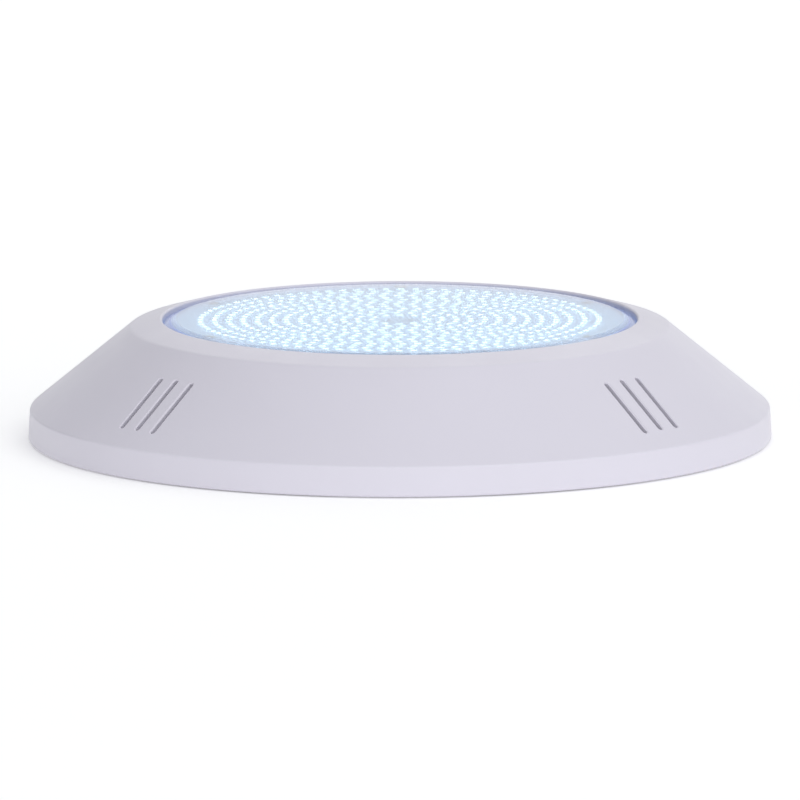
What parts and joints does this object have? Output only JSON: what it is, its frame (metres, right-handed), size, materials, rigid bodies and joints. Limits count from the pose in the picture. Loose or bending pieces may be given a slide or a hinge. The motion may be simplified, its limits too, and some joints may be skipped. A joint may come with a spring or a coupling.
{
  "type": "underwater pool light",
  "caption": "Flat round surface-mounted LED pool light: white conical face ring with slots, clear lens over an LED board, and a bayonet wall bracket with a cable gland behind.",
  "frame": {"origin": "centre of the wall bracket's back face, in the plane of the pool wall", "axes": "+Z out of the wall through the lens, -Y towards the viewer of the picture, +X to the viewer's right"},
  "size_m": [0.29, 0.29, 0.0473],
  "materials": {
    "white_shell": "satin moulded",
    "bracket_plastic": "fine texture",
    "housing_plastic": "fine texture",
    "lens_clear": "polished clear",
    "silicone_grey": "matte",
    "clamp_steel": "brushed",
    "screw_steel": "satin",
    "plate_aluminium": "satin",
    "board_white": "white solder mask",
    "board_green": "solder mask",
    "chip_black": "matte",
    "capacitor_can": "sleeved can",
    "copper_winding": "enamelled wire",
    "gland_nylon": "moulded",
    "gland_rubber": "matte",
    "terminal_nylon": "moulded",
    "lead_brown": "insulation",
    "lead_blue": "insulation",
    "lead_red": "insulation",
    "lead_black": "insulation"
  },
  "bodies": {
    "bracket": {"wall_bracket": "bracket_plastic"},
    "lamp": {"face_ring": "white_shell", "lamp_housing": "housing_plastic", "lens_gasket": "silicone_grey", "lens": "lens_clear", "clamp_ring": "clamp_steel", "clamp_screw_1": "screw_steel", "clamp_screw_2": "screw_steel", "clamp_screw_3": "screw_steel", "clamp_screw_4": "screw_steel", "clamp_screw_5": "screw_steel", "clamp_screw_6": "screw_steel", "clamp_screw_7": "screw_steel", "clamp_screw_8": "screw_steel", "ring_screw_1": "screw_steel", "ring_screw_2": "screw_steel", "ring_screw_3": "screw_steel", "ring_screw_4": "screw_steel", "board_screw_1": "screw_steel", "board_screw_2": "screw_steel", "board_screw_3": "screw_steel", "board_screw_4": "screw_steel", "board_screw_5": "screw_steel", "board_screw_6": "screw_steel", "driver_screw_1": "screw_steel", "driver_screw_2": "screw_steel", "driver_screw_3": "screw_steel", "driver_screw_4": "screw_steel", "terminal_screw_1": "screw_steel", "terminal_screw_2": "screw_steel", "heat_sink_plate": "plate_aluminium", "led_board": "board_white", "driver_board": "board_green", "input_capacitor": "capacitor_can", "output_capacitor": "capacitor_can", "inductor": "copper_winding", "bridge_rectifier": "chip_black", "regulator_chip": "chip_black", "terminal_block": "terminal_nylon", "supply_lead_1": "lead_brown", "supply_lead_2": "lead_blue", "led_lead_1": "lead_red", "led_lead_2": "lead_black", "gland_body": "gland_nylon", "gland_o_ring": "gland_rubber", "gland_lock_nut": "gland_nylon", "gland_seal": "gland_rubber"},
    "gland_washer": {"gland_thrust_washer": "gland_nylon"},
    "gland_cap": {"gland_nut": "gland_nylon"}
  },
  "joints": [
    {"name": "lamp_twist", "type": "hinge", "parent": "bracket", "child": "lamp", "pos_m": [0, 0, 0], "axis": [0, 0, 1], "range_deg": [0, 28]},
    {"name": "gland_washer_slide", "type": "slide", "parent": "lamp", "child": "gland_washer", "axis": [0, 0, -1], "range_m": [0, 0.003]},
    {"name": "gland_nut_turn", "type": "hinge", "parent": "gland_washer", "child": "gland_cap", "pos_m": [0, 0, 0], "axis": [0, 0, -1], "range_deg": [0, 720]}
  ],
  "couplings": [
    {"joint": "gland_washer_slide", "follows": "gland_nut_turn", "m_per_rad": 0.00023873}
  ]
}
